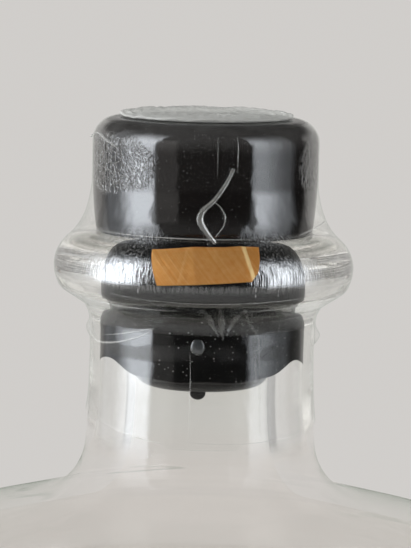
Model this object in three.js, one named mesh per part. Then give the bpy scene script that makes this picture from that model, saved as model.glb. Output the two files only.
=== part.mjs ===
// A sealed gin bottle: clear glass with a heavy ring at the mouth, a black push-in stopper, and a
// clear shrink seal with a gold pull tab. Millimetres, +Z up, the origin under the centre of the base.
import * as THREE from "three";

// The bottle's body
const bodyRadius = 46;
const bodyTop = 134; // where the straight side ends and the shoulder begins
const shoulderRound = 12;
const shoulderSlope = THREE.MathUtils.degToRad(13);
const heelRound = 6;
const wall = 3.2;
const footWidth = 7; // the flat ring that the bottle stands on
const puntHeight = 7; // how far the base is pushed up in the middle
const baseThickness = 6;

// The neck and the glass ring round the mouth
const lipHeight = 184;
const neckRadius = 15.4;
const neckRootRadius = 16;
const neckFillet = 6.5;
const neckStraightDrop = 22; // from the lip down to where the neck starts to spread
const ringRadius = 20.45;
const ringCrestDrop = 5; // from the lip down to the widest part of the ring
const ringBelly = 4.85; // how far the ring's round side stands out from its core
const ringFoot = { radius: 16.9, drop: 9.75 }; // where the ring's sloping underside meets the neck's curve
const ringCorner = { radius: 20.9, drop: 8 }; // where the underside and the side aim to meet
const neckTopDrop = 12.4; // from the lip down to where the neck is straight
const boreRadius = 9.25;
const boreDepth = 24;
const throatWiden = 0.6; // how far out the bore's lower end aims as it opens into the body
const throatEnd = 22; // the radius at which it meets the shoulder's slope
const lipRound = 0.7;

// The stopper
const headRadius = 15.6;
const headFootRadius = 15;
const headHeight = 15.6;
const headCornerRound = 3.2;
const headTaperHeight = 5;
const shankLength = 21.2;
const shankChamfer = { across: 1.7, height: 2.2 };
const shankFit = 0.3; // clear of the bore all round, where the real one is squeezed in
const tenonRadius = 6;
const tenonHeight = 5;
const tenonFit = 0.3;

// The contents
const fillHeight = 131;
const fillFit = 0.3;

// The shrink seal
const film = 0.25;
const filmFit = 0.25;
const tentTop = 4.4; // above the lip, where the film leaves the stopper's side
const tentLanding = 50; // the angle up the ring's round side at which it comes to rest
const tentFoot = 0.45; // how far out from the stopper's side the tent's lower half aims
const skirtBare = 0.07; // the share of the neck's side, from its root up, that the film leaves bare
const turnInRadius = 10.6;
const discRadius = 12.1;

// The gold pull tab and the clear ribbon that it ends
const tabThickness = 0.25;
const tabFit = 0.35;
const tabLeft = { angle: -18.5, low: -5.3, high: -0.7 }; // its ends, in degrees and above the lip
const tabRight = { angle: 21, low: -4.5, high: 0.1 };
const tabColumns = 16;
const tabRows = 7;
const ribbonWidth = 1;
const ribbonThickness = 0.3;
const ribbonFit = 0.35;
const ribbonLow = { across: 1.5, height: 1 }; // its ends, across the front and above the lip
const ribbonHigh = { across: 4.6, height: 10.2 };
const ribbonSway = 2.6; // how far the curl swings to the left of a straight line
const ribbonSteps = 20;

const turns = 40; // flat sides round a turned piece
const material = (color, roughness, more = {}) =>
  new THREE.MeshStandardMaterial({ color, roughness, metalness: 0, ...more });
const looks = {
  glass: material(0xdfe5e0, 0.03, { transparent: true, opacity: 0.3 }),
  gin: material(0xe8edec, 0.02, { transparent: true, opacity: 0.2 }),
  blackPlastic: material(0x0c0c0d, 0.12),
  blackRubber: material(0x121314, 0.35),
  film: material(0xe6e8e6, 0.08, { transparent: true, opacity: 0.2 }),
  goldFoil: material(0xb9822f, 0.4, { metalness: 0.6 }),
};

const at = (radius, height) => new THREE.Vector2(radius, height);

// Points along a round stretch, with its angles in degrees from straight out to straight up.
function round(radius, height, out, up, from, to, steps) {
  const points = [];
  for (let i = 0; i <= steps; i += 1) {
    const angle = THREE.MathUtils.degToRad(from + ((to - from) * i) / steps);
    points.push(at(radius + out * Math.cos(angle), height + up * Math.sin(angle)));
  }
  return points;
}

// A smooth curve from one point to another, drawn towards a third.
function bend(start, pull, end, steps) {
  return new THREE.QuadraticBezierCurve(start, pull, end).getPoints(steps);
}

// A turned solid from its half section, which starts and ends on the axis or closes on itself.
function turned(name, look, profile) {
  const apart = profile.filter((p, i) => i === 0 || p.distanceTo(profile[i - 1]) > 1e-4);
  const geometry = new THREE.LatheGeometry(apart, turns).rotateX(Math.PI / 2);
  const mesh = new THREE.Mesh(geometry, look);
  mesh.name = name;
  return mesh;
}

// The top of the shoulder's round edge, for a wall that lies inset from the outside.
function shoulderCrest(inset) {
  const crown = shoulderRound - inset;
  return at(
    bodyRadius - shoulderRound + crown * Math.sin(shoulderSlope),
    bodyTop + crown * Math.cos(shoulderSlope),
  );
}

// A point on the shoulder's slope.
function onSlope(inset, radius) {
  const crest = shoulderCrest(inset);
  return at(radius, crest.y + (crest.x - radius) * Math.tan(shoulderSlope));
}

// The centre of the round foot of the neck.
function filletCentre() {
  const centre = neckRootRadius + neckFillet;
  const foot = onSlope(0, centre - neckFillet * Math.sin(shoulderSlope));
  return at(centre, foot.y + neckFillet * Math.cos(shoulderSlope));
}

const slopeLevel = 90 - THREE.MathUtils.radToDeg(shoulderSlope);

// Where a line from one point along a slope crosses a radius.
function reach(start, along, radius) {
  return at(radius, start.y + ((radius - start.x) * along.y) / along.x);
}

// The ring's side a set distance off the glass, from the top of the neck up to an angle.
function ringSide(off, highest) {
  const core = ringRadius - ringBelly;
  const crest = lipHeight - ringCrestDrop;
  const neckTop = at(neckRadius + off, lipHeight - neckTopDrop);
  const foot = at(ringFoot.radius + off / 2, lipHeight - ringFoot.drop - off);
  const corner = at(ringCorner.radius + off, lipHeight - ringCorner.drop - off / 2);
  return [
    ...bend(neckTop, reach(foot, corner.clone().sub(foot), neckTop.x), foot, 4),
    ...bend(foot, corner, at(ringRadius + off, crest), 6),
    ...round(core, crest, ringBelly + off, ringCrestDrop + off, 0, highest, 6),
  ];
}

// The neck's side up to just under the ring, less a share of it at its root.
function neckSide(off, bare) {
  const curve = new THREE.QuadraticBezierCurve(
    at(neckRootRadius + off, filletCentre().y),
    at(neckRadius + off, lipHeight - neckStraightDrop),
    at(neckRadius + off, lipHeight - neckTopDrop),
  );
  return Array.from({ length: 7 }, (_, i) => curve.getPoint(THREE.MathUtils.lerp(bare, 1, i / 6)));
}

// The outside of the glass from the foot's flat ring up to the lip.
function glassOutside() {
  const root = filletCentre();
  return [
    at(bodyRadius - heelRound - footWidth, 0),
    ...round(bodyRadius - heelRound, heelRound, heelRound, heelRound, -90, 0, 4),
    ...round(bodyRadius - shoulderRound, bodyTop, shoulderRound, shoulderRound, 0, slopeLevel, 6),
    ...round(root.x, root.y, neckFillet, neckFillet, 180 + slopeLevel, 180, 6),
    ...neckSide(0, 0),
    ...ringSide(0, 90),
  ];
}

// The inside of the glass from the lip down to the middle of the base, or a line clear of it.
function glassInside(clear) {
  const bore = boreRadius - clear;
  const crown = shoulderRound - wall - clear;
  const inner = bodyRadius - wall - clear;
  const floor = baseThickness + clear;
  const heel = heelRound + wall / 2;
  return [
    at(bore + lipRound, lipHeight),
    at(bore, lipHeight - lipRound),
    ...bend(
      at(bore, lipHeight - boreDepth),
      onSlope(wall + clear, bore + throatWiden),
      onSlope(wall + clear, throatEnd),
      8,
    ),
    ...round(bodyRadius - shoulderRound, bodyTop, crown, crown, slopeLevel, 0, 5),
    ...round(inner - heel, floor + heel, heel, heel, 0, -90, 4),
    ...bend(at(inner - heel - 6, floor), at(inner / 2, floor + puntHeight), at(0, floor + puntHeight), 5),
  ];
}

// The part of a falling line that lies below a height.
function below(line, height) {
  const first = line.findIndex((p) => p.y < height);
  const [high, low] = [line[first - 1], line[first]];
  return [low.clone().lerp(high, (height - low.y) / (high.y - low.y)), ...line.slice(first)];
}

function bottle() {
  const foot = bodyRadius - heelRound - footWidth;
  const punt = bend(at(0, puntHeight), at(foot * 0.6, puntHeight), at(foot, 0), 5);
  return turned("glass_bottle", looks.glass, [...punt, ...glassOutside(), ...glassInside(0)]);
}

function gin() {
  const wetted = below(glassInside(fillFit), fillHeight);
  return turned("gin", looks.gin, [at(0, fillHeight), ...wetted].reverse());
}

function stopperHead() {
  const top = lipHeight + headHeight;
  const socket = tenonRadius + tenonFit;
  return turned("stopper_head", looks.blackPlastic, [
    at(0, lipHeight + tenonHeight + tenonFit),
    at(socket, lipHeight + tenonHeight + tenonFit),
    at(socket, lipHeight),
    at(headFootRadius, lipHeight),
    at(headRadius, lipHeight + headTaperHeight),
    ...round(headRadius - headCornerRound, top - headCornerRound, headCornerRound, headCornerRound, 0, 90, 5),
    at(0, top),
  ]);
}

function stopperShank() {
  const radius = boreRadius - shankFit;
  const bottom = lipHeight - shankLength;
  return turned("stopper_shank", looks.blackRubber, [
    at(0, bottom),
    at(radius - shankChamfer.across, bottom),
    at(radius, bottom + shankChamfer.height),
    at(radius, lipHeight),
    at(tenonRadius, lipHeight),
    at(tenonRadius, lipHeight + tenonHeight),
    at(0, lipHeight + tenonHeight),
  ]);
}

// The path of the film at a given distance off the stopper and the glass, from its cut edge to its
// turned-in top.
function filmPath(off) {
  const top = lipHeight + headHeight;
  const corner = headCornerRound + off;
  const ring = ringSide(off, tentLanding);
  const landed = ring[ring.length - 1];
  const angle = THREE.MathUtils.degToRad(tentLanding);
  const along = at(-(ringBelly + off) * Math.sin(angle), (ringCrestDrop + off) * Math.cos(angle));
  const leave = at(headRadius + off, lipHeight + tentTop);
  return [
    ...neckSide(off, skirtBare),
    ...ring,
    ...bend(landed, reach(landed, along, leave.x + tentFoot), leave, 5),
    ...round(headRadius - headCornerRound, top - headCornerRound, corner, corner, 0, 90, 5),
    at(turnInRadius, top + off),
  ];
}

function sealSleeve() {
  const outside = filmPath(filmFit + film);
  const inside = filmPath(filmFit).reverse();
  return turned("seal_sleeve", looks.film, [...outside, ...inside, outside[0]]);
}

function sealDisc() {
  const low = lipHeight + headHeight + filmFit + film;
  return turned("seal_top_disc", looks.film, [
    at(0, low),
    at(discRadius, low),
    at(discRadius, low + film),
    at(0, low + film),
  ]);
}

// The film's outer radius at a height above the lip, read from the same path as the film.
function filmRadiusAt(height) {
  const path = filmPath(filmFit + film);
  const level = lipHeight + height;
  for (let i = path.length - 1; i > 0; i -= 1) {
    const [low, high] = [path[i - 1], path[i]];
    if (low.y <= level && level <= high.y && high.y > low.y) {
      return low.x + ((high.x - low.x) * (level - low.y)) / (high.y - low.y);
    }
  }
  return headRadius;
}

// A thin bent strip from its cross-sections. Each has points on its near side and as many on its far side.
function strip(name, look, sections) {
  const rows = sections[0].near.length;
  const size = 2 * rows;
  const corners = sections.flatMap(({ near, far }) => [...near, ...far.toReversed()]);
  const faces = [];
  const square = (a, b, c, d) => faces.push(a, c, b, a, d, c);
  for (let i = 0; i + 1 < sections.length; i += 1) {
    for (let k = 0; k < size; k += 1) {
      const [a, b] = [size * i + k, size * i + ((k + 1) % size)];
      square(a, b, b + size, a + size);
    }
  }
  const last = size * (sections.length - 1);
  for (let k = 0; k + 1 < rows; k += 1) {
    const [a, b, c, d] = [k, k + 1, size - 2 - k, size - 1 - k];
    square(d, c, b, a);
    square(last + a, last + b, last + c, last + d);
  }
  const geometry = new THREE.BufferGeometry().setFromPoints(corners);
  geometry.setIndex(faces);
  geometry.computeVertexNormals();
  const mesh = new THREE.Mesh(geometry, look);
  mesh.name = name;
  return mesh;
}

// The gold tab lies on the ring's upper side, just outside the film.
function pullTab() {
  const sections = [];
  for (let i = 0; i <= tabColumns; i += 1) {
    const t = i / tabColumns;
    const angle = THREE.MathUtils.degToRad(THREE.MathUtils.lerp(tabLeft.angle, tabRight.angle, t));
    const low = THREE.MathUtils.lerp(tabLeft.low, tabRight.low, t);
    const high = THREE.MathUtils.lerp(tabLeft.high, tabRight.high, t);
    const side = (extra) =>
      Array.from({ length: tabRows + 1 }, (_, k) => {
        const height = THREE.MathUtils.lerp(low, high, k / tabRows);
        const radius = filmRadiusAt(height) + tabFit + extra;
        return new THREE.Vector3(
          radius * Math.sin(angle),
          -radius * Math.cos(angle),
          lipHeight + height,
        );
      });
    sections.push({ near: side(tabThickness), far: side(0) });
  }
  return strip("pull_tab", looks.goldFoil, sections);
}

// The loose ribbon curls up the front of the seal from the tab, its flat side to the front.
function tearRibbon() {
  const spots = [];
  for (let i = 0; i <= ribbonSteps; i += 1) {
    const t = i / ribbonSteps;
    const across =
      THREE.MathUtils.lerp(ribbonLow.across, ribbonHigh.across, t) -
      ribbonSway * Math.sin(Math.PI * Math.min(1, t * 1.15));
    spots.push(at(across, THREE.MathUtils.lerp(ribbonLow.height, ribbonHigh.height, t)));
  }
  const sections = spots.map((spot, i) => {
    const ahead = spots[Math.min(i + 1, ribbonSteps)].clone().sub(spots[Math.max(i - 1, 0)]).normalize();
    const lowEdge = spot.y - (Math.abs(ahead.x) * ribbonWidth) / 2;
    const near = filmRadiusAt(lowEdge) + ribbonFit;
    const side = (extra) =>
      [-1, 1].map((way) => {
        const x = spot.x - (way * ahead.y * ribbonWidth) / 2;
        const z = spot.y + (way * ahead.x * ribbonWidth) / 2;
        return new THREE.Vector3(x, -Math.sqrt(near ** 2 - spot.x ** 2) - extra, lipHeight + z);
      });
    return { near: side(ribbonThickness), far: side(0) };
  });
  return strip("tear_ribbon", looks.film, sections);
}

const ginBottle = new THREE.Group();
ginBottle.add(bottle(), gin());
ginBottle.add(stopperHead(), stopperShank());
ginBottle.add(sealSleeve(), sealDisc(), pullTab(), tearRibbon());

export default ginBottle;
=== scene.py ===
# %% [markdown]
# # A sealed gin bottle, seen close up
#
# Clear glass, a glossy black stopper, and a clear shrink seal with a gold pull tab. Each solid of the CAD
# part is rebuilt here with smoother curves. It differs from the part in three ways. The shoulder stands 2 to
# 3 mm lower, with a larger round up to the neck. The mouth ring is 0.25 mm wider all round. The gin, the
# plug and the film lie closer to the glass, where the part keeps gaps of about 0.3 mm.

import math

import bmesh
import bpy
import numpy as np
from mathutils import Matrix, Vector, noise


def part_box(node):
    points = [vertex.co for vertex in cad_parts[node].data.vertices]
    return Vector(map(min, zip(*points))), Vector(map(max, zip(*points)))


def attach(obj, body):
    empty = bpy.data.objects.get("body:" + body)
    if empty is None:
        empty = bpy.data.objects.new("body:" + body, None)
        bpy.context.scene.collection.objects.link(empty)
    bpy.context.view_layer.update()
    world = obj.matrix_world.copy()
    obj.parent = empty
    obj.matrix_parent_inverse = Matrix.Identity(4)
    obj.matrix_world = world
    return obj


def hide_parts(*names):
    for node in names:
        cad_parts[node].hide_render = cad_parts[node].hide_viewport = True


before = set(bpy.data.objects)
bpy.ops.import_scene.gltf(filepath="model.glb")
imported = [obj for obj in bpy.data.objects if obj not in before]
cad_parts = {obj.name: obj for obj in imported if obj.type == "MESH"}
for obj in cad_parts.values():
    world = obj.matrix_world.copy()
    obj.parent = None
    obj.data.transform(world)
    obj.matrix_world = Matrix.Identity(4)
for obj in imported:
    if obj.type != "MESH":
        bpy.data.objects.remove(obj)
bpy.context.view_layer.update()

# %% [markdown]
# ## Sizes
#
# Metres throughout. The outermost sizes are read from the CAD part's nodes.

# %%
MM = 0.001
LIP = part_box("glass_bottle")[1].z
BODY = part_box("glass_bottle")[1].x
HEAD_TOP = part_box("stopper_head")[1].z
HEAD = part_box("stopper_head")[1].x
PLUG_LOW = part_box("stopper_shank")[0].z
GIN_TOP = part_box("gin")[1].z

BORE = 9.25 * MM
NECK = 15.45 * MM
RING = 20.7 * MM
RING_BELLY = 4.85 * MM  # how far the ring's round side stands out from its core
CREST = LIP - 5 * MM  # the height of the ring's widest line
WALL = 3.2 * MM
FILM_OFF = 0.08 * MM  # the film's distance off the glass and the stopper
FILM_LOW = LIP - 28.3 * MM  # the film's lower edge at the front
THIN_FROM, THIN_TO = LIP - 28 * MM, LIP - 31.5 * MM  # where the drawn glass fades into a thin skin
HEAD_CORNER = 3.2 * MM

SLOPE = math.radians(15)  # of the shoulder
ROOT = 16.0 * MM  # the neck's radius at its foot
FILLET = 8.5 * MM  # the round that leads the neck into the shoulder
SHOULDER = 12 * MM  # the shoulder's round edge
BODY_TOP = 131.2 * MM  # the height where the straight side ends

# %% [markdown]
# ## Curves and turned shapes
#
# A profile is a list of (radius, height) points. `arc` gives a round stretch and `bend` a smooth corner.


# %%
def arc(centre, out, up, start, end, steps):
    points = []
    for i in range(steps + 1):
        angle = math.radians(start + (end - start) * i / steps)
        points.append((centre[0] + out * math.cos(angle), centre[1] + up * math.sin(angle)))
    return points


def bend(a, pull, b, steps):
    points = []
    for i in range(steps + 1):
        t = i / steps
        points.append(
            tuple((1 - t) ** 2 * p + 2 * t * (1 - t) * q + t * t * r for p, q, r in zip(a, pull, b))
        )
    return points


def straight(a, b, steps):
    return [tuple(p + (q - p) * i / steps for p, q in zip(a, b)) for i in range(steps + 1)]


def joined(*runs):
    """One profile out of several runs, without the points that they share."""
    profile = []
    for run in runs:
        for point in run:
            if not profile or math.dist(point, profile[-1]) > 1e-6:
                profile.append(point)
    return profile


def turned(name, profile, turns=192):
    """A piece from its half section: an eighth of a turn is spun, then doubled three times."""
    mesh = bmesh.new()
    verts = [mesh.verts.new((0, -r, z)) for r, z in profile]
    edges = [mesh.edges.new(pair) for pair in zip(verts, verts[1:])]
    part = math.pi / 4
    bmesh.ops.spin(
        mesh, geom=verts + edges, axis=(0, 0, 1), cent=(0, 0, 0), steps=turns // 8, angle=part
    )
    for angle in (part, 2 * part, 4 * part):
        whole = mesh.verts[:] + mesh.edges[:] + mesh.faces[:]
        copied = bmesh.ops.duplicate(mesh, geom=whole)["geom"]
        corners = [one for one in copied if isinstance(one, bmesh.types.BMVert)]
        bmesh.ops.rotate(mesh, verts=corners, cent=(0, 0, 0), matrix=Matrix.Rotation(angle, 3, "Z"))
    bmesh.ops.remove_doubles(mesh, verts=mesh.verts, dist=1e-6)
    bmesh.ops.recalc_face_normals(mesh, faces=mesh.faces)
    return piece(name, mesh)


def piece(name, mesh):
    """An object from a bmesh, smooth shaded."""
    data = bpy.data.meshes.new(name)
    mesh.to_mesh(data)
    mesh.free()
    data.shade_smooth()
    made = bpy.data.objects.new(name, data)
    bpy.context.collection.objects.link(made)
    return made


def reshaped(obj, change):
    """Moves each vertex along its normal and up.

    change(angle from the front in degrees, height above the lip in mm) gives both ways in mm.
    """
    verts = obj.data.vertices
    spots, normals = np.empty(len(verts) * 3), np.empty(len(verts) * 3)
    verts.foreach_get("co", spots)
    verts.foreach_get("normal", normals)
    spots, normals = spots.reshape(-1, 3), normals.reshape(-1, 3)
    angle = np.degrees(np.arctan2(spots[:, 0], -spots[:, 1]))
    out, up = change(angle, (spots[:, 2] - LIP) / MM)
    spots += normals * (out * MM)[:, None]
    spots[:, 2] += up * MM
    verts.foreach_set("co", spots.ravel())
    obj.data.update()


# %% [markdown]
# ## Shader arithmetic
#
# `Signal` wraps a socket, so that `a * 0.5 + b` adds the Math nodes it needs.


# %%
class Signal:
    def __init__(self, tree, socket):
        self.tree, self.socket = tree, socket

    def node(self, kind, output=0, inputs=None, **settings):
        """Any other node in the same material, with its inputs and settings by name."""
        made = self.tree.nodes.new(kind)
        for name, value in settings.items():
            setattr(made, name, value)
        for name, value in (inputs or {}).items():
            if isinstance(value, Signal):
                self.tree.links.new(value.socket, made.inputs[name])
            else:
                made.inputs[name].default_value = value
        return Signal(self.tree, made.outputs[output])

    def math(self, operation, *others):
        made = self.node("ShaderNodeMath", operation=operation)
        for place, value in enumerate((self, *others)):
            socket = made.socket.node.inputs[place]
            if isinstance(value, Signal):
                self.tree.links.new(value.socket, socket)
            else:
                socket.default_value = value
        return made

    def __add__(self, other):
        return self.math("ADD", other)

    def __sub__(self, other):
        return self.math("SUBTRACT", other)

    def __mul__(self, other):
        return self.math("MULTIPLY", other)

    def __truediv__(self, other):
        return self.math("DIVIDE", other)

    def __rsub__(self, other):
        return (self * -1) + other

    __radd__ = __add__
    __rmul__ = __mul__

    def step(self, low, high, out_low=0.0, out_high=1.0):
        """A smooth step from one value to another as this one goes from low to high."""
        return self.node(
            "ShaderNodeMapRange",
            inputs={"Value": self, "From Min": low, "From Max": high, "To Min": out_low, "To Max": out_high},
            interpolation_type="SMOOTHSTEP",
        )

    def scaled(self, factors):
        """This position, times a factor along each axis."""
        return self.node("ShaderNodeVectorMath", inputs={0: self, 1: factors}, operation="MULTIPLY")

    def clouds(self, scale, detail, **more):
        """Soft noise over this position."""
        inputs = {"Vector": self, "Scale": scale, "Detail": detail, **more}
        return self.node("ShaderNodeTexNoise", inputs=inputs)

    def relief(self, strength, distance):
        """A normal, with this as the height."""
        inputs = {"Height": self, "Strength": strength, "Distance": distance}
        return self.node("ShaderNodeBump", inputs=inputs)

    def colours(self, first, second):
        """From the first colour to the second as this goes from 0 to 1."""
        inputs = {0: self, 6: first, 7: second}
        return self.node("ShaderNodeMix", output=2, inputs=inputs, data_type="RGBA")


def material(name):
    """A new material's tree, its output node, and its Object coordinates."""
    made = bpy.data.materials.new(name)
    made.use_nodes = True
    tree = made.node_tree
    tree.nodes.clear()
    output = tree.nodes.new("ShaderNodeOutputMaterial")
    spot = tree.nodes.new("ShaderNodeTexCoord")
    return made, tree, output, Signal(tree, spot.outputs["Object"])


def principled(name, **values):
    """A plain material, with the Principled shader's inputs by name."""
    made, tree, output, spot = material(name)
    shader = tree.nodes.new("ShaderNodeBsdfPrincipled")
    for key, value in values.items():
        shader.inputs[key.replace("_IOR_", " IOR ").replace("_", " ")].default_value = value
    tree.links.new(shader.outputs[0], output.inputs["Surface"])
    return made, tree, shader, spot


# %% [markdown]
# ## Materials

# %%
def heights(spot):
    """Where a point is: x and y in millimetres, and z in millimetres above the lip."""
    parts = spot.node("ShaderNodeSeparateXYZ", inputs={"Vector": spot})
    x, y, z = (Signal(spot.tree, parts.socket.node.outputs[k]) / MM for k in range(3))
    return x, y, z - LIP / MM


def mixed(tree, factor, first, second):
    """A Mix Shader of two shaders, by a number or a Signal."""
    mix = tree.nodes.new("ShaderNodeMixShader")
    if isinstance(factor, Signal):
        tree.links.new(factor.socket, mix.inputs[0])
    else:
        mix.inputs[0].default_value = factor
    tree.links.new(first.outputs[0], mix.inputs[1])
    tree.links.new(second.outputs[0], mix.inputs[2])
    return mix


def thin(tree, spot, tint, front_on, edge_on, shine, normal=None, rim=(0.75, 0.79, 0.76, 1), rim_share=1.0):
    """A thin clear skin. It mirrors more and darkens where it is seen edge on, its rim colour painted shade
    there, and lets the rest through.
    """
    bumpy = {"Blend": 0.5, "Normal": normal} if normal else {"Blend": 0.5}
    facing = spot.node("ShaderNodeLayerWeight", output=1, inputs=bumpy)
    mirror = facing.math("POWER", 5.0) * (edge_on - front_on) + front_on
    glossy = tree.nodes.new("ShaderNodeBsdfPrincipled")
    glossy.inputs["Base Color"].default_value = (1, 1, 1, 1)
    glossy.inputs["Metallic"].default_value = 1.0
    glossy.inputs["Roughness"].default_value = shine
    if normal:
        tree.links.new(normal.socket, glossy.inputs["Normal"])
    clear = tree.nodes.new("ShaderNodeBsdfTransparent")
    clear.inputs["Color"].default_value = tint
    flat = tree.nodes.new("ShaderNodeBsdfTransparent")
    flat.inputs["Color"].default_value = rim
    plain = spot.node("ShaderNodeLayerWeight", output=1, inputs={"Blend": 0.5})
    seen = mixed(tree, plain.math("POWER", 6.5) * rim_share, clear, flat)
    return mixed(tree, mirror, seen, glossy)


def glass_look(name, rim):
    """Solid glass round the stopper, and a thin skin below, where it shows almost nothing."""
    made, tree, shader, spot = principled(
        name, Base_Color=(0.985, 0.988, 0.975, 1), Roughness=0.0, IOR=1.52, Transmission_Weight=1.0
    )
    level = spot.node("ShaderNodeSeparateXYZ", output=2, inputs={"Vector": spot})
    low = level.step(THIN_FROM, THIN_TO)
    bump = spot.clouds(110.0, 3.0, Distortion=1.0).relief(0.5, 0.0006)
    x, y, _ = heights(spot)
    # Soft patches over the thin skin where its painted edge shade is stronger; behind the neck it is left
    # out.
    rim_shade_patches = spot.scaled((45, 90, 160)).clouds(1.0, 4.0, Distortion=1.5)
    behind_neck = y.step(-2, 4) * x.math("ABSOLUTE").step(24, 18)
    share = 1 - behind_neck + rim_shade_patches.step(0.56, 0.72) * low * 1.2
    skin = thin(tree, spot, (0.99, 0.983, 0.975, 1), 0.022, 0.2, 0.05, bump, rim=rim, rim_share=share)
    whole = mixed(tree, low, shader, skin)
    tree.links.new(whole.outputs[0], tree.nodes["Material Output"].inputs["Surface"])
    return made


# The outer glass's darker, greener rim colour is painted shade where the skin is seen edge on.
glass = glass_look("clear_glass", (0.6, 0.65, 0.6, 1))
inner_glass = glass_look("clear_glass_inside", (0.99, 0.983, 0.975, 1))
# The gin's surface is a thin skin; its darker rim colour is painted shade where it is seen edge on.
liquid, tree, output, spot = material("gin_liquid")
skin = thin(tree, spot, (0.985, 0.985, 0.98, 1), 0.02, 0.3, 0.04, rim=(0.62, 0.65, 0.63, 1))
tree.links.new(skin.outputs[0], output.inputs["Surface"])


def crackle(spot):
    """The two patches of the head's side where the film sticks and lets go in a fine network."""
    x, _, z = heights(spot)
    wobble = spot.clouds(260.0, 2.0)
    left = ((x + 12.2) / 5.6).math("POWER", 2.0) + ((z - 9.9) / 4.3).math("POWER", 2.0) + wobble
    right = ((x - 15.0) / 2.4).math("POWER", 2.0) + ((z - 10.2) / 4.4).math("POWER", 2.0) + wobble
    bent = spot.node("ShaderNodeTexNoise", output=1, inputs={"Vector": spot, "Scale": 700.0, "Detail": 2.0})
    bent = bent.node("ShaderNodeVectorMath", inputs={0: bent, "Scale": 0.0014}, operation="SCALE")
    moved = spot.node("ShaderNodeVectorMath", inputs={0: spot, 1: bent}, operation="ADD")
    cells = spot.node(
        "ShaderNodeTexVoronoi", inputs={"Vector": moved, "Scale": 1300.0}, feature="DISTANCE_TO_EDGE"
    )
    return cells.step(0.16, 0.02) * (left.step(1.55, 1.2) + right.step(1.5, 1.1) * 0.8)


def dust(spot, scale, low, high, amount):
    """Sparse pale specks."""
    specks = spot.node("ShaderNodeTexVoronoi", inputs={"Vector": spot, "Scale": scale})
    pick = spot.node("ShaderNodeTexVoronoi", output=1, inputs={"Vector": spot, "Scale": scale})
    chosen = pick.node("ShaderNodeSeparateXYZ", inputs={"Vector": pick}).step(0.55, 0.75)
    return specks.step(high, low) * chosen * amount


black, tree, shader, spot = principled("black_plastic", Roughness=0.09, IOR=1.5)
DUST = (0.6, 0.6, 0.6, 1)
colour = dust(spot, 2100.0, 0.05, 0.2, 0.16).colours((0.0045, 0.0037, 0.0035, 1), DUST)
tree.links.new(colour.socket, shader.inputs["Base Color"])
bump = (crackle(spot) * 0.7 + spot.clouds(330.0, 4.0) * 0.12).relief(0.6, 0.0001)
tree.links.new(bump.socket, shader.inputs["Normal"])
roughness = heights(spot)[2].step(15.0, 15.5) * 0.45 + 0.09  # the flat top is duller
tree.links.new(roughness.socket, shader.inputs["Roughness"])

cork, tree, shader, spot = principled("black_cork", Roughness=0.3, Specular_IOR_Level=0.08)
colour = dust(spot, 1900.0, 0.06, 0.24, 0.6).colours((0.002, 0.002, 0.0025, 1), DUST)
tree.links.new(colour.socket, shader.inputs["Base Color"])

foil, tree, shader, spot = principled("gold_foil", Roughness=0.5, Metallic=0.45)
x, _, z = heights(spot)
# A pale line along the tab's bend to its flap, and a fainter one along the crease from its top bump, are
# painted highlight.
across = x + z * 0.37 - 5.15
ridge_highlight = across.step(-0.32, 0.0) * across.step(0.42, 0.3)
beside = x + 2.2 - z * 0.25
fold = beside.step(-0.15, 0.05) * beside.step(0.5, 0.1)
slant = spot.node(
    "ShaderNodeTexNoise",
    inputs={"W": x * 1.6 + z * 1.25, "Scale": 1.0, "Detail": 3.0},
    noise_dimensions="1D",
)
fine = spot.clouds(1300.0, 4.0)
# The flap past the bend is made darker, a painted shade, beside the random bands and grain.
tone = slant * 0.45 + fine * 0.3 + ridge_highlight * 0.75 + fold * 0.12 - across.step(0.35, 0.5) * 0.1
colour = tone.step(0.05, 1.3).colours((0.68, 0.31, 0.06, 1), (1.0, 0.8, 0.42, 1))
tree.links.new(colour.socket, shader.inputs["Base Color"])
bump = (fine + slant * 2.0).relief(0.5, 0.00005)
tree.links.new(bump.socket, shader.inputs["Normal"])


def film_material(
    name, shine, haze=0.0, relief=None, strength=0.35, front_on=0.05, edge_on=0.5, milk=(0.8, 0.81, 0.8, 1)
):
    """Thin clear film with a little milkiness. A relief gives its own height, mirroring and haze."""
    made, tree, output, spot = material(name)
    rough = spot.clouds(420.0, 4.0, Roughness=0.6)
    if relief:
        rough, front_on, haze = relief(spot, rough)
    else:
        rough = rough * 0.25
    normal = rough.relief(strength, 0.0001)
    skin = thin(tree, spot, (0.99, 0.992, 0.987, 1), front_on, edge_on, shine, normal)
    cloudy = tree.nodes.new("ShaderNodeBsdfPrincipled")
    cloudy.inputs["Base Color"].default_value = milk
    cloudy.inputs["Roughness"].default_value = 0.5
    tree.links.new(normal.socket, cloudy.inputs["Normal"])
    tree.links.new(mixed(tree, haze, skin, cloudy).outputs[0], output.inputs["Surface"])
    return made


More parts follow.
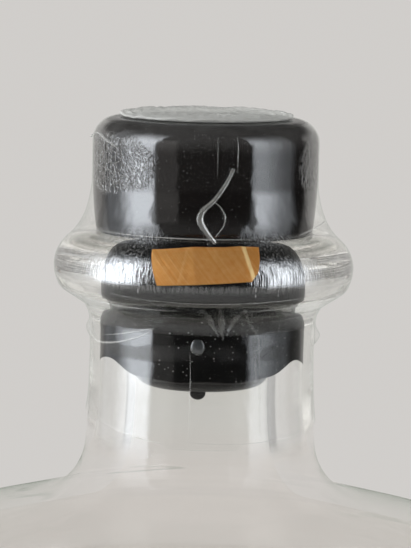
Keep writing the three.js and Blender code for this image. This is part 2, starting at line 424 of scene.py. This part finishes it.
def sleeve_relief(spot, soft):
    """The sleeve's fine height, its mirroring seen front on, and its milkiness.

    It clings to the upper head and the neck, where it mirrors little. It stands off as a tent at the head's
    foot, and is pleated over the ring, where streaks of milkiness are painted highlight.
    """
    x, _, z = heights(spot)
    aside = x.math("ABSOLUTE")
    pleat = spot.scaled((3600, 3600, 240)).clouds(1.0, 3.0)
    ring = z.step(-6.8, -4.4) * z.step(2.0, 0.0)
    patch = crackle(spot)
    tent = z.step(0.5, 2.0) * z.step(7.4, 6.0)
    upper = z.step(6.5, 7.4)
    corner = z.step(11.5, 14.0)
    right = x.step(4.0, 9.0)
    neck_left = z.step(-9, -12) * x.step(-5, -8) * z.step(-22, -18)
    on_ring = ring * (pleat.step(0.3, 0.7) * 0.2 + 0.07) * (right * 0.5 + 1.35 - aside.step(14, 17) * 0.9)
    front_on = tent * (right * 0.05 + 0.05) + on_ring + upper * 0.01 + patch * 0.05 + 0.026
    front_on = front_on + neck_left * 0.03 + corner * 0.04
    # Whitish streaks of milkiness over the ring's pleats on either side of the tab: painted highlight.
    ring_highlight_streaks = pleat.step(0.45, 0.75) * ring * 0.12 * aside.step(5, 9)
    haze = ring_highlight_streaks + upper * 0.004 + corner * soft * 0.05 + patch * 0.05 + 0.002
    return soft * 0.22 + patch * 0.7 + pleat * ring * 0.8, front_on, haze


film = film_material("clear_film", shine=0.05, relief=sleeve_relief, strength=0.8)
tape = film_material("clear_tape", shine=0.08, haze=0.08)
pleated = film_material("pleated_film", shine=0.1, haze=0.02)
# The crease strips mirror the room for real; their milkiness adds painted highlight along the folds.
crease = film_material("crease_film", shine=0.1, haze=0.22)
lid = film_material(
    "lid_film", shine=0.12, haze=0.5, strength=1.0, front_on=0.04, edge_on=0.2, milk=(0.45, 0.46, 0.45, 1)
)

# %% [markdown]
# ## The glass
#
# The outside runs from the foot up over the shoulder, the neck and the ring to the lip. The inside comes
# back down through the bore.


# %%
# The ring's lower side, as (radius, height above the lip) in millimetres.
RING_LOWER = [
    (NECK / MM, -12.6), (15.6, -11.9), (15.95, -11.0), (16.6, -10.05), (17.6, -9.35),
    (18.6, -8.7), (19.45, -8.15), (19.95, -7.65), (20.3, -6.9), (20.6, -5.95), (RING / MM, -5.0),
]  # fmt: skip


def smooth(points, count):
    """A smooth line through the points, with this many steps between each two."""
    line = []
    for i in range(len(points) - 1):
        corners = [points[k] for k in (max(i - 1, 0), i, i + 1, min(i + 2, len(points) - 1))]
        for k in range(count):
            t = k / count
            line.append(
                tuple(
                    0.5 * (
                        2 * q + (r - p) * t
                        + (2 * p - 5 * q + 4 * r - s) * t**2
                        + (3 * q - p - 3 * r + s) * t**3
                    )
                    for p, q, r, s in zip(*corners)
                )
            )
    line.append(points[-1])
    return line


def ring_side(off, highest):
    """From the top of the neck out round the ring to an angle up its side, at a distance off the glass."""
    lower = [(r * MM + off, LIP + z * MM - 0.4 * off) for r, z in smooth(RING_LOWER, 5)]
    upper = arc((RING - RING_BELLY, CREST), RING_BELLY + off, 5 * MM + off, 0, highest, 28)
    return joined(lower[:-1], upper)


def fillet_centre():
    """The middle of the round between the neck's foot and the sloping shoulder."""
    crest = (BODY - SHOULDER + SHOULDER * math.sin(SLOPE), BODY_TOP + SHOULDER * math.cos(SLOPE))
    foot = ROOT + FILLET - FILLET * math.sin(SLOPE)
    height = crest[1] + (crest[0] - foot) * math.tan(SLOPE)
    return ROOT + FILLET, height + FILLET * math.cos(SLOPE)


def neck_side(off, start):
    """From an angle on the fillet up the neck to the ring, at a distance off the glass."""
    centre = fillet_centre()
    return joined(
        arc(centre, FILLET - off, FILLET - off, start, 180, 24),
        bend((ROOT + off, centre[1]), (NECK + off, LIP - 22 * MM), (NECK + off, LIP - 13 * MM), 24),
    )


def glass_outside():
    heel = 6 * MM
    return joined(
        arc((BODY - heel, heel), heel, heel, -90, 0, 12),
        straight((BODY, heel), (BODY, BODY_TOP), 6),
        arc((BODY - SHOULDER, BODY_TOP), SHOULDER, SHOULDER, 0, 75, 24),
        neck_side(0, 255),
        ring_side(0, 90),
    )


def glass_inside(grow=0.0):
    """The inside from the bore down to the middle of the base, and grown outwards for a liquid in it."""
    crown = SHOULDER - WALL
    inner = BODY - WALL + grow
    floor = 6 * MM - grow
    heel = 7.6 * MM
    throat = [
        (9.25, -23.5), (9.5, -28), (10.2, -32), (11.6, -35), (14, -37.4), (17.5, -39.0), (23, -40.6),
    ]  # fmt: skip
    return {
        "throat": joined(
            bend((BORE + 0.8 * MM, LIP), (BORE, LIP), (BORE, LIP - 0.8 * MM), 8),
            straight((BORE, LIP - 0.8 * MM), (BORE, LIP - 23 * MM), 4),
            [(r * MM, LIP + z * MM) for r, z in smooth(throat, 8)],
            arc((BODY - SHOULDER, BODY_TOP), crown, crown, 75, 0, 24),
        ),
        "belly": joined(
            arc((inner - heel, floor + heel), heel, heel, 0, -90, 12),
            bend((inner - heel - 6 * MM, floor), (inner / 2, floor + 7 * MM), (0, floor + 7 * MM), 16),
        ),
    }


inside = glass_inside()
punt = bend((0, 7 * MM), (19.8 * MM, 7 * MM), (33 * MM, 0), 16)  # the pushed-up base
bottle = turned(
    "bottle",
    joined(punt, glass_outside(), inside["throat"], inside["belly"]),
    turns=256,
)
bottle.data.materials.append(glass)
bottle.data.materials.append(inner_glass)
# Below the ring, the inner faces have a look of their own, without the darker rim.
for face in bottle.data.polygons:
    to_axis = face.normal.x * face.center.x + face.normal.y * face.center.y < 0
    under_shoulder = face.normal.z < 0 and face.center.z > 12 * MM
    if face.center.z < LIP - 20 * MM and (to_axis or under_shoulder):
        face.material_index = 1
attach(bottle, "root")
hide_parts("glass_bottle")

# The gin reaches a hair into the glass, so that no air shows between them.
SOAK = 0.05 * MM
wet = glass_inside(grow=SOAK)["belly"]
edge = BODY - WALL + SOAK
gin = turned("gin_liquid", joined([(0, GIN_TOP), (edge, GIN_TOP)], wet), turns=128)
gin.data.materials.append(liquid)
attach(gin, "root")
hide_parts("gin")

# %% [markdown]
# ## The stopper
#
# The head's side tapers in at its foot. The plug presses against the bore, which is why the glass shows it
# so wide.


# %%
def head_profile():
    """The head's outside from its foot to the middle of its top."""
    return joined(
        bend((15.0 * MM, LIP), (15.5 * MM, LIP + 3 * MM), (HEAD, LIP + 7 * MM), 12),
        straight((HEAD, LIP + 7 * MM), (HEAD, HEAD_TOP - HEAD_CORNER), 8),
        arc((HEAD - HEAD_CORNER, HEAD_TOP - HEAD_CORNER), HEAD_CORNER, HEAD_CORNER, 0, 90, 20),
        [(0, HEAD_TOP)],
    )


head_low = LIP + 0.02 * MM
head = turned("head", joined([(0, head_low), (14.6 * MM, head_low)], head_profile()), turns=192)
head.data.materials.append(black)
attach(head, "root")
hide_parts("stopper_head")

tight = BORE + 0.02 * MM
waist = (5.2 * MM, PLUG_LOW)
plug = turned(
    "plug",
    joined(
        [(0, PLUG_LOW), waist],
        bend(waist, (tight - 0.7 * MM, PLUG_LOW + 0.1 * MM), (tight, PLUG_LOW + 2.3 * MM), 16),
        straight((tight, PLUG_LOW + 2.3 * MM), (tight, PLUG_LOW + 6 * MM), 8),
        [(tight, LIP - 1 * MM), (BORE - 0.1 * MM, LIP - 0.6 * MM), (BORE - 0.1 * MM, LIP + 0.01 * MM)],
        [(0, LIP + 0.01 * MM)],
    ),
    turns=128,
)


def plug_change(angle, z):
    """The wetted zone, where the plug meets the bore, reaches lowest at the front."""
    foot = (PLUG_LOW - LIP) / MM
    share = np.clip((foot + 6.5 - z) / 4.2, 0, 1)
    side = np.sin(np.radians(angle)) ** 8
    ragged = 0.1 * np.sin(np.radians(angle) * 9 + 1)
    return 0 * z, share * np.where(z > foot + 2, 2.0 * side + ragged - 0.72, -0.4)


reshaped(plug, plug_change)
plug.data.materials.append(cork)
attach(plug, "root")
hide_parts("stopper_shank")

# %% [markdown]
# ### Drops
#
# A bead of gin is caught between the film and the neck, and a drop hangs under the plug.


# %%
def bead(name, place, radii, look):
    """A drop. Its place in the part's frame and its radii are in millimetres."""
    mesh = bmesh.new()
    bmesh.ops.create_uvsphere(mesh, u_segments=48, v_segments=32, radius=MM)
    bmesh.ops.scale(mesh, verts=mesh.verts, vec=radii)
    bmesh.ops.translate(mesh, verts=mesh.verts, vec=[value * MM for value in place])
    made = piece(name, mesh)
    made.data.materials.append(look)
    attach(made, "root")
    return made


grey_bead = principled("bead", Base_Color=(0.03, 0.033, 0.036, 1), Roughness=0.16, IOR=1.7)[0]
bead("caught_bead", (-0.55, -15.25, LIP / MM - 14.2), (1.0, 0.45, 1.12), grey_bead)
bead("hanging_drop", (-0.4, -5.6, PLUG_LOW / MM - 0.55), (1.0, 0.9, 0.95), cork)

# %% [markdown]
# ## The shrink seal
#
# The film follows the stopper's side, stretches like a tent over to the ring, hugs the ring and the neck,
# and ends on the neck's spreading root.


# %%
def film_path():
    """The film's line from its lower edge up to its rim on the head's top."""
    tent = ring_side(FILM_OFF, 50)
    landed = tent[-1]
    leave = (HEAD + FILM_OFF, LIP + 6.5 * MM)
    corner = (HEAD - HEAD_CORNER, HEAD_TOP - HEAD_CORNER)
    neck = [point for point in neck_side(FILM_OFF, 180) if point[1] > FILM_LOW]
    return joined(
        [(neck[0][0] + 0.05 * MM, FILM_LOW)],
        neck,
        tent,
        bend(landed, (HEAD + 0.55 * MM, LIP + 1.3 * MM), leave, 30),
        straight(leave, (HEAD + FILM_OFF, corner[1]), 30),
        arc(corner, HEAD_CORNER + FILM_OFF, HEAD_CORNER + FILM_OFF, 0, 90, 24),
        straight((corner[0], HEAD_TOP + FILM_OFF), (10.6 * MM, HEAD_TOP + FILM_OFF), 6),
    )


def evened(profile, steps):
    """The same line with points at even distances."""
    lengths = [0.0]
    for a, b in zip(profile, profile[1:]):
        lengths.append(lengths[-1] + math.dist(a, b))
    points, k = [], 0
    for i in range(steps + 1):
        want = lengths[-1] * i / steps
        while k < len(profile) - 2 and lengths[k + 1] < want:
            k += 1
        t = (want - lengths[k]) / (lengths[k + 1] - lengths[k])
        points.append(tuple(p + (q - p) * t for p, q in zip(profile[k], profile[k + 1])))
    return points


def waves(angle, height, round_scale, up_scale, seed):
    """Smooth noise over a turned surface, without a seam at the back."""
    around = np.radians(angle)
    spots = np.stack(
        [np.cos(around) * round_scale, np.sin(around) * round_scale + seed, height * up_scale], axis=1
    )
    return np.array([noise.noise(spot) for spot in spots])


def near(value, middle, width):
    """1 at the middle, falling to 0 a width away."""
    share = np.clip(1 - np.abs(value - middle) / width, 0, 1)
    return share * share * (3 - 2 * share)


sleeve = turned("sleeve", evened(film_path(), 230), turns=400)

# The film's lower edge, as (degrees from the front, millimetres above the lip).
EDGE = [(-180, -27.0), (-90, -25.0), (-61, -25.5), (-43, -26.6), (-22, -27.5), (-18, -27.6), (-15.5, -28.2),
        (18, -28.3), (21, -27.5), (27, -27.3), (57, -27.2), (90, -26.2), (180, -27.0)]  # fmt: skip


def sleeve_change(angle, z):
    """How the film wrinkles, bags under the ring, and ends at an uneven edge."""
    loose = near(z, -13.6, 3.2)
    out = 0.03 + 0.03 * waves(angle, z, 6, 0.25, 3.0) + 0.012 * waves(angle, z, 22, 0.9, 11.0)
    out += loose * (0.28 + 0.3 * waves(angle, z, 3.5, 0.15, 7.0))
    out += 0.75 * near(z, -14.2, 1.5) * near(angle, 84, 14)
    out += 0.5 * near(z, -13.6, 1.6) * near(angle, -84, 16)
    out += 0.16 * near(z, -9.6, 1.8) * np.sin(np.radians(angle) * 60) * near(angle, 9, 14)
    out += 0.05 * near(z, -21, 6) * waves(angle, z, 9, 0.05, 5.0)
    out += 0.1 * near(z, 3.0, 3.5) * waves(angle, z, 5, 0.3, 9.0)
    rest = np.interp(angle, [a for a, _ in EDGE], [h for _, h in EDGE]) + 28.3
    up = rest * np.clip((-22.5 - z) / 5.8, 0, 1)
    return out, up


reshaped(sleeve, sleeve_change)
sleeve.data.materials.append(film)
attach(sleeve, "root")
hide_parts("seal_sleeve")

disc_low = HEAD_TOP + 0.3 * MM
disc = turned(
    "top_disc",
    joined(
        [(0, disc_low), (11.6 * MM, disc_low)],
        arc((11.7 * MM, disc_low + 0.25 * MM), 0.35 * MM, 0.25 * MM, -90, 90, 6),
        straight((11.5 * MM, disc_low + 0.45 * MM), (0, disc_low + 0.35 * MM), 90),
    ),
    turns=288,
)


def disc_change(obj):
    """Plain rings pressed into the disc, two of them off centre, and soft buckles."""
    verts = obj.data.vertices
    spots = np.empty(len(verts) * 3)
    verts.foreach_get("co", spots)
    spots = spots.reshape(-1, 3)
    x, y, z = (spots / MM).T
    reach = np.hypot(x, y)
    off_centre = np.hypot(x - 5.6, y + 1.0)
    lift = 0.16 * near(reach, 10.9, 0.5) + 0.1 * near(reach, 9.2, 0.35)
    lift += 0.14 * near(off_centre, 3.9, 0.35) + 0.1 * near(off_centre, 2.6, 0.3)
    lift += np.array([0.2 * noise.noise(Vector((u * 0.35, v * 0.35, 1))) for u, v in zip(x, y)])
    lift += np.array([0.12 * noise.noise(Vector((u * 1.3, v * 0.8, 4))) for u, v in zip(x, y)])
    spots[:, 2] += np.where(z * MM > disc_low + 0.1 * MM, lift, 0) * MM
    verts.foreach_set("co", spots.ravel())
    obj.data.update()


disc_change(disc)
disc.data.materials.append(lid)
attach(disc, "root")
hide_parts("seal_top_disc")

# %% [markdown]
# ### Folds
#
# Thin raised strips laid on the film, each a line of (degrees from the front, millimetres above the lip).
# A row of small holes runs up the head's side.

# %%
FILM_LINE = film_path()


def film_radius(z):
    """The sleeve's radius at a height above the lip in metres."""
    for (r0, z0), (r1, z1) in zip(FILM_LINE, FILM_LINE[1:]):
        if z0 <= z + LIP <= z1:
            return r0 + (r1 - r0) * (z + LIP - z0) / max(z1 - z0, 1e-9)
    return HEAD


FOLDS = [
    # (line, width at the start and at the end, height) in millimetres
    ([(-86, -12.9), (-76, -14.2), (-65, -14.9), (-48, -14.4), (-33, -13.2), (-24, -11.9)], 0.25, 0.35, 0.2),
    ([(-62, -13.9), (-48, -13.3), (-36, -12.6), (-25, -11.9)], 0.12, 0.3, 0.15),
    ([(35, -10.9), (50, -10.6), (71, -11.3), (86, -13.8), (88, -15.5)], 0.12, 0.2, 0.12),
    ([(7, -8.6), (9, -10.6), (10.5, -13.2)], 1.3, 0.7, 0.15),
    ([(-1, -8.6), (3, -10.2), (8.5, -12.8)], 1.4, 0.6, 0.2),
    ([(18.5, -8.6), (15.5, -10.2), (12.5, -12.6)], 1.4, 0.6, 0.2),
    ([(17.8, -8.7), (23, -10.8), (28.3, -12.6), (29.8, -16), (30.5, -20.2), (30.5, -27.2)], 0.7, 0.6, 0.12),
    ([(26.5, -12.4), (27.5, -16), (27.8, -21)], 0.12, 0.08, 0.05),
    ([(-5.8, -14.9), (-5.4, -18), (-5.3, -22), (-5.2, -27.8)], 0.1, 0.08, 0.05),
    ([(-61, -25.4), (-43, -26.5), (-30, -27.1), (-19, -27.5)], 0.12, 0.22, 0.08),
    ([(-15, -28.1), (2, -28.2), (18, -28.2)], 0.08, 0.08, 0.05),
    ([(-8, -27.1), (6, -27.3), (22, -27.4)], 0.06, 0.06, 0.04),
    ([(21, -27.4), (38, -27.2), (57, -26.9), (64, -26.6)], 0.22, 0.1, 0.08),
    ([(16, 14.2), (16, 9.4)], 0.14, 0.08, 0.05),
    ([(6, 14.2), (6, 9.0)], 0.07, 0.05, 0.03),
    ([(-90, 12.6), (-72, 13.7), (-58, 12.9), (-50, 12.2)], 0.12, 0.25, 0.35),
    ([(-80, 9.8), (-55, 9.0), (-44, 8.4), (-36, 8.2)], 0.08, 0.08, 0.05),
    ([(-60, 0.9), (-30, 0.75), (0, 0.7), (20, 0.7)], 0.1, 0.2, 0.1),
    ([(48, 0.9), (62, 1.5), (78, 2.0)], 0.35, 0.2, 0.15),
    ([(-38, -7.0), (-20, -7.5), (0, -7.7), (20, -7.6), (45, -7.2), (72, -6.6)], 0.12, 0.12, 0.06),
    ([(-60, -8.3), (-35, -8.9), (-10, -9.0)], 0.16, 0.2, 0.08),
    ([(18, -9.0), (38, -8.7), (60, -8.2)], 0.2, 0.16, 0.08),
]  # fmt: skip
HOLES = [
    ([(27.2 - 0.35 * k, 6.6 - 0.62 * k), (27.2 - 0.35 * k, 6.4 - 0.62 * k)], 0.12, 0.12, 0.08)
    for k in range(10)
]
PLEAT_WIDTH = 0.5  # a fold that starts this wide has the clearer look


def laced(mesh, rows):
    """Faces from each row of vertices to the next."""
    for a, b in zip(rows, rows[1:]):
        for k in range(len(a) - 1):
            mesh.faces.new((a[k], a[k + 1], b[k + 1], b[k]))


def laid_strip(mesh, line, first_width, last_width, height):
    """One raised strip on the film: its two edges lie on it and its middle stands up."""
    line = smooth(line, 8)
    rows = []
    for i, (angle, z) in enumerate(line):
        a0, z0 = line[max(i - 1, 0)]
        a1, z1 = line[min(i + 1, len(line) - 1)]
        radius = film_radius(z * MM)
        along = Vector((math.radians(a1 - a0) * radius, (z1 - z0) * MM)).normalized()
        width = (first_width + (last_width - first_width) * i / (len(line) - 1)) * MM
        width *= min(1.0, 0.25 + 1.5 * min(i, len(line) - 1 - i) / len(line))
        row = []
        for side, lift in ((-0.5, 0), (-0.25, 0.75), (0, 1), (0.25, 0.75), (0.5, 0)):
            turn = math.radians(angle) - along.y * side * width / radius
            level = z * MM + along.x * side * width
            reach = film_radius(level) + FILM_OFF + lift * height * MM
            row.append(mesh.verts.new((reach * math.sin(turn), -reach * math.cos(turn), LIP + level)))
        rows.append(row)
    laced(mesh, rows)


for name, look, chosen in (
    ("film_folds", crease, [fold for fold in FOLDS + HOLES if fold[1] < PLEAT_WIDTH]),
    ("film_pleats", pleated, [fold for fold in FOLDS if fold[1] >= PLEAT_WIDTH]),
):
    folds_mesh = bmesh.new()
    for line, first_width, last_width, height in chosen:
        laid_strip(folds_mesh, line, first_width, last_width, height)
    bmesh.ops.recalc_face_normals(folds_mesh, faces=folds_mesh.faces)
    folds = piece(name, folds_mesh)
    folds.data.materials.append(look)
    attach(folds, "root")

# %% [markdown]
# ## The pull tab and the tear tape
#
# The tab is a grid bent round the ring: `t` runs from its left end to its right, `rise` from its lower edge
# up. The tape is two strips, along lines of (x, height above the lip) in millimetres.

# %%
tab_mesh = bmesh.new()
columns, rows = 60, 24
grid = []
for i in range(columns + 1):
    t = i / columns
    low = -5.35 + 0.85 * t + 1.1 * max(0.0, (t - 0.93) / 0.07)
    high = -0.75 + 0.8 * t
    high += 0.22 * max(0.0, 1 - abs(t - 0.38) / 0.3) - 0.3 * max(0.0, (t - 0.82) / 0.18)
    line = []
    for j in range(rows + 1):
        z = low + (high - low) * j / rows
        rise = j / rows
        angle = math.radians((-17.0 - 4.4 * rise) * (1 - t) + (20.6 + 2.9 * rise) * t)
        ridge = max(0.0, 1 - abs(t - (0.91 - 0.05 * rise)) / 0.035)
        fold = max(0.0, 1 - abs(t - 0.38) / 0.06)
        radius = film_radius(z * MM) + (0.3 + 0.3 * ridge + 0.1 * fold) * MM
        line.append(tab_mesh.verts.new((radius * math.sin(angle), -radius * math.cos(angle), LIP + z * MM)))
    grid.append(line)
for i in range(columns):
    for j in range(rows):
        tab_mesh.faces.new((grid[i][j], grid[i + 1][j], grid[i + 1][j + 1], grid[i][j + 1]))
bmesh.ops.solidify(tab_mesh, geom=tab_mesh.faces, thickness=0.06 * MM)
tab = piece("tab", tab_mesh)
tab.data.materials.append(foil)
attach(tab, "root")
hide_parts("pull_tab")

CURL = [
    (3.8, 10.1), (2.73, 7.9), (1.24, 5.8), (-0.07, 4.6), (-0.6, 3.5), (-0.27, 2.5), (0.58, 1.4), (1.58, 0.3),
]  # fmt: skip
LOOP = [(0.95, 5.9), (2.2, 4.85), (2.76, 3.7), (2.6, 2.5), (1.53, 1.15)]


def curled(mesh, line, widths, off):
    """A strip of tape standing off the film, along a line of (x, height above the lip) in millimetres."""
    line = smooth(line, 12)
    rows = []
    for i, (x, z) in enumerate(line):
        x0, z0 = line[max(i - 1, 0)]
        x1, z1 = line[min(i + 1, len(line) - 1)]
        run = math.hypot(x1 - x0, z1 - z0)
        side = (-(z1 - z0) / run, (x1 - x0) / run)
        width = float(np.interp(i / (len(line) - 1), *zip(*widths)))
        radius = max(film_radius((z + step) * MM) for step in (-0.5, 0, 0.5)) + off * MM
        row = []
        for across in (-0.5, -0.42, -0.2, 0, 0.2, 0.42, 0.5):
            px = (x + side[0] * across * width) * MM
            pz = (z + side[1] * across * width) * MM
            lift = 0.22 * MM * (2 * abs(across)) ** 3
            row.append(mesh.verts.new((px, -math.sqrt(radius**2 - px**2) - lift, LIP + pz)))
        rows.append(row)
    laced(mesh, rows)


curl_mesh = bmesh.new()
curled(curl_mesh, CURL, [(0, 0.45), (0.3, 0.6), (0.45, 0.75), (0.6, 1.0), (0.8, 0.7), (1, 0.5)], 0.5)
curled(curl_mesh, LOOP, [(0, 0.12), (0.5, 0.22), (1, 0.12)], 0.35)
bmesh.ops.recalc_face_normals(curl_mesh, faces=curl_mesh.faces)
bmesh.ops.solidify(curl_mesh, geom=curl_mesh.faces, thickness=0.05 * MM)
curl = piece("curl", curl_mesh)
curl.data.materials.append(tape)
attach(curl, "root")
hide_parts("tear_ribbon")

# %% [markdown]
# ## Floor, light and camera
#
# Two lamps, to the left and the right, light only what is rough. What glass, film and glossy plastic
# mirror is painted round the bottle: a bright soft light on the left, a weaker one on the right, a dim
# panel between them, and a pale wall behind. Rays that only pass through clear pieces see a pale room.

# %%
floor = turned("floor", [(0, 0), (900 * MM, 0)], turns=96)
floor_look, tree, output, spot = material("floor")
reach = spot.node("ShaderNodeVectorMath", output=1, inputs={0: spot}, operation="LENGTH")
paint = tree.nodes.new("ShaderNodeBsdfPrincipled")
paint.inputs["Base Color"].default_value = (0.62, 0.61, 0.59, 1)
paint.inputs["Roughness"].default_value = 0.8
through = tree.nodes.new("ShaderNodeBsdfTransparent")
faded = mixed(tree, reach.step(0.25, 0.8), paint, through)
tree.links.new(faded.outputs[0], output.inputs["Surface"])
floor.data.materials.append(floor_look)

world = bpy.data.worlds.new("room")
bpy.context.scene.world = world
world.use_nodes = True
tree = world.node_tree
tree.nodes.clear()
output = tree.nodes.new("ShaderNodeOutputWorld")
ways = tree.nodes.new("ShaderNodeTexCoord")
way = Signal(tree, ways.outputs["Generated"])
paths = tree.nodes.new("ShaderNodeLightPath")
camera_ray = Signal(tree, paths.outputs["Is Camera Ray"])
parts = tree.nodes.new("ShaderNodeSeparateXYZ")
tree.links.new(way.socket, parts.inputs[0])
x, y, z = (Signal(tree, parts.outputs[k]) for k in range(3))
BACKDROP = (0.632, 0.614, 0.594)
LAMPLIGHT = (0.6, 0.63, 0.67)
turn = x.math("ARCTAN2", y * -1) * math.degrees(1)  # round from the camera, to the right
rise = z.math("ARCSINE") * math.degrees(1)
tall = rise.step(-24, -14) * rise.step(62, 20)
left = turn.step(-50, -56) * turn.step(-124, -114) * (turn.step(-102, -72) * 7.2 + 1.0) * tall
right = turn.step(47, 53) * turn.step(106, 92) * (turn.step(92, 55) * 3.4 + 1.0) * tall
panel = turn.step(-53, -51) * turn.step(-27, -30) * rise.step(-16, -12) * rise.step(40, 30) * 0.4
behind = turn.math("ABSOLUTE").step(118, 128) * rise.step(26, 12)
mirrored = Signal(tree, paths.outputs["Glossy Depth"]).math("GREATER_THAN", 0.5)
inside = Signal(tree, paths.outputs["Transmission Depth"]).math("GREATER_THAN", 0.5)
lamps = left + right
# Inside the glass, the lamps are held down and the room is paler.
lamps = (lamps.math("MINIMUM", 0.35) * inside + lamps * (1 - inside)) * mirrored
room = (panel + behind + 0.012).math("MAXIMUM", inside * 0.62).math("MINIMUM", 1.0)
room = room * mirrored + (1 - mirrored) * (1 - inside * 0.04)
room = room.math("MAXIMUM", camera_ray)
pale = room.node("ShaderNodeVectorMath", inputs={0: BACKDROP, "Scale": room}, operation="SCALE")
bright = lamps.node("ShaderNodeVectorMath", inputs={0: LAMPLIGHT, "Scale": lamps}, operation="SCALE")
colour = pale.node("ShaderNodeVectorMath", inputs={0: pale, 1: bright}, operation="ADD")
back = tree.nodes.new("ShaderNodeBackground")
tree.links.new(colour.socket, back.inputs["Color"])
tree.links.new(back.outputs[0], output.inputs["Surface"])


def lamp(name, place, aim, width, height, power):
    """A soft light that only rough surfaces see."""
    data = bpy.data.lights.new(name, "AREA")
    data.shape = "RECTANGLE"
    data.size, data.size_y = width, height
    data.energy = power
    made = bpy.data.objects.new(name, data)
    made.location = place
    made.rotation_euler = (Vector(aim) - Vector(place)).to_track_quat("-Z", "Y").to_euler()
    made.visible_camera = False
    made.visible_glossy = False
    made.visible_transmission = False
    bpy.context.collection.objects.link(made)


lamp("left_softbox", (-0.6, -0.047, 0.40), (0, -0.047, 0.40), 0.844, 0.8, 12.0)
lamp("right_softbox", (0.6, -0.21, 0.40), (0, -0.21, 0.40), 0.58, 0.8, 3.0)

camera_data = bpy.data.cameras.new("camera")
camera = bpy.data.objects.new("camera", camera_data)
bpy.context.collection.objects.link(camera)
bpy.context.scene.camera = camera
camera_data.lens = 222
camera_data.sensor_width = 36
camera_data.clip_start, camera_data.clip_end = 0.01, 50
CAMERA_UP, CAMERA_ROLL = math.radians(7), math.radians(1.2)
CAMERA_AWAY = 0.47
aim = Vector((0.3 * MM, 0, LIP - 6.1 * MM))
back_off = Vector((0, -math.cos(CAMERA_UP), math.sin(CAMERA_UP)))
camera.location = aim + back_off * CAMERA_AWAY
level = (-back_off).to_track_quat("-Z", "Y").to_matrix()
camera.rotation_euler = (level @ Matrix.Rotation(CAMERA_ROLL, 3, "Z")).to_euler()

scene = bpy.context.scene
scene.view_settings.view_transform = "Standard"
scene.cycles.max_bounces = 24
scene.cycles.transmission_bounces = 20
scene.cycles.transparent_max_bounces = 24
scene.cycles.glossy_bounces = 8
